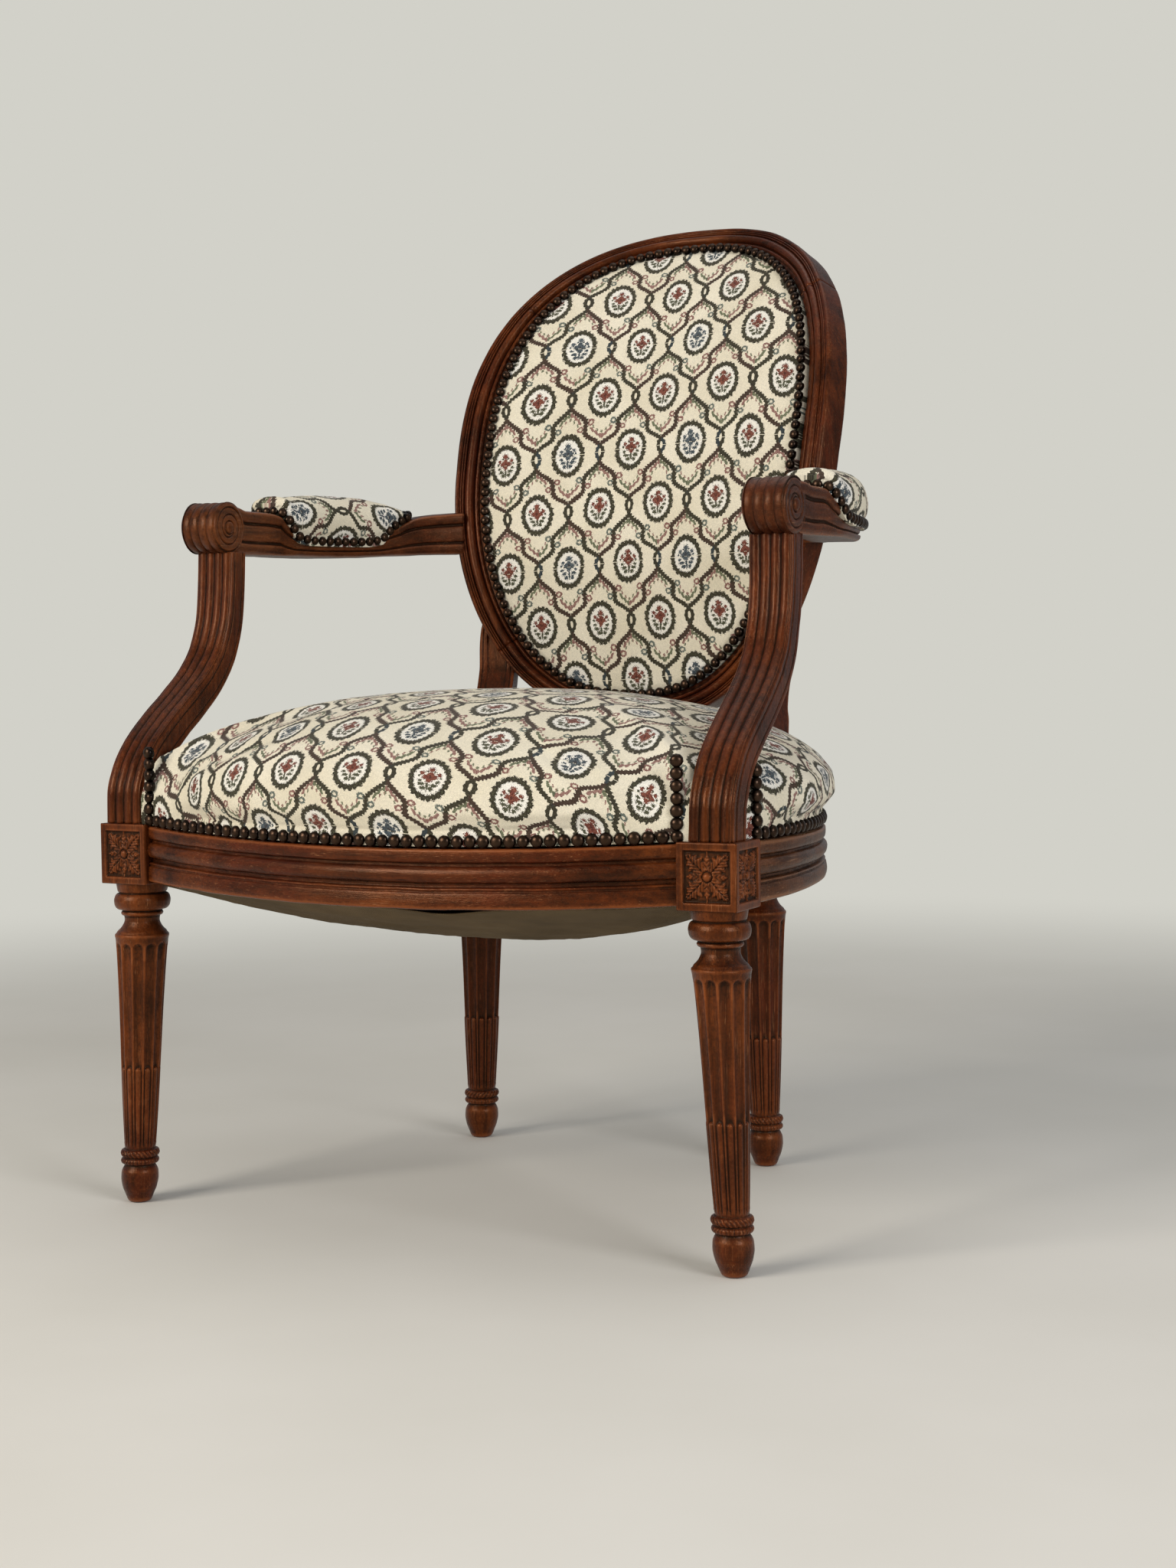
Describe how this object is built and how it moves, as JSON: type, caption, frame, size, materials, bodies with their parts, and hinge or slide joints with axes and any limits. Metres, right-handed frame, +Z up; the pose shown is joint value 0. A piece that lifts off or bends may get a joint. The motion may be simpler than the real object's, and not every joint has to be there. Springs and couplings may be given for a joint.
{
  "type": "upholstered armchair",
  "caption": "Open-arm upholstered chair with an oval padded back, curved arm supports, a domed seat and turned, fluted legs under carved blocks.",
  "frame": {"origin": "on the floor under the middle of the chair's bounding box", "axes": "+Z up; +Y toward the back; +X toward the sitter's left"},
  "size_m": [0.5976, 0.6326, 0.8652],
  "materials": {
    "stained_beech": "waxed satin, dark red-brown stain",
    "tapestry": "woven cloth, cream with dark green oval wreaths",
    "hair_stuffing": "curled hair in coarse cloth",
    "webbing": "coarse undyed weave",
    "dust_cloth": "thin plain cloth",
    "bronze_nails": "antique bronze"
  },
  "bodies": {
    "root": {"front_rail": "stained_beech", "back_rail": "stained_beech", "back_crest": "stained_beech", "back_bottom_rail": "stained_beech", "side_rail_left": "stained_beech", "front_leg_left": "stained_beech", "rear_leg_left": "stained_beech", "arm_support_left": "stained_beech", "arm_left": "stained_beech", "arm_pad_left": "tapestry", "seat_nails_left": "bronze_nails", "arm_nails_left": "bronze_nails", "side_rail_right": "stained_beech", "front_leg_right": "stained_beech", "rear_leg_right": "stained_beech", "arm_support_right": "stained_beech", "arm_right": "stained_beech", "arm_pad_right": "tapestry", "seat_nails_right": "bronze_nails", "arm_nails_right": "bronze_nails", "seat_cushion": "tapestry", "back_pad": "tapestry", "back_outside_cover": "tapestry", "seat_stuffing": "hair_stuffing", "seat_webbing": "webbing", "back_canvas": "webbing", "dust_cover": "dust_cloth", "seat_nails_front": "bronze_nails", "seat_nails_back": "bronze_nails", "back_nails": "bronze_nails"}
  },
  "joints": []
}
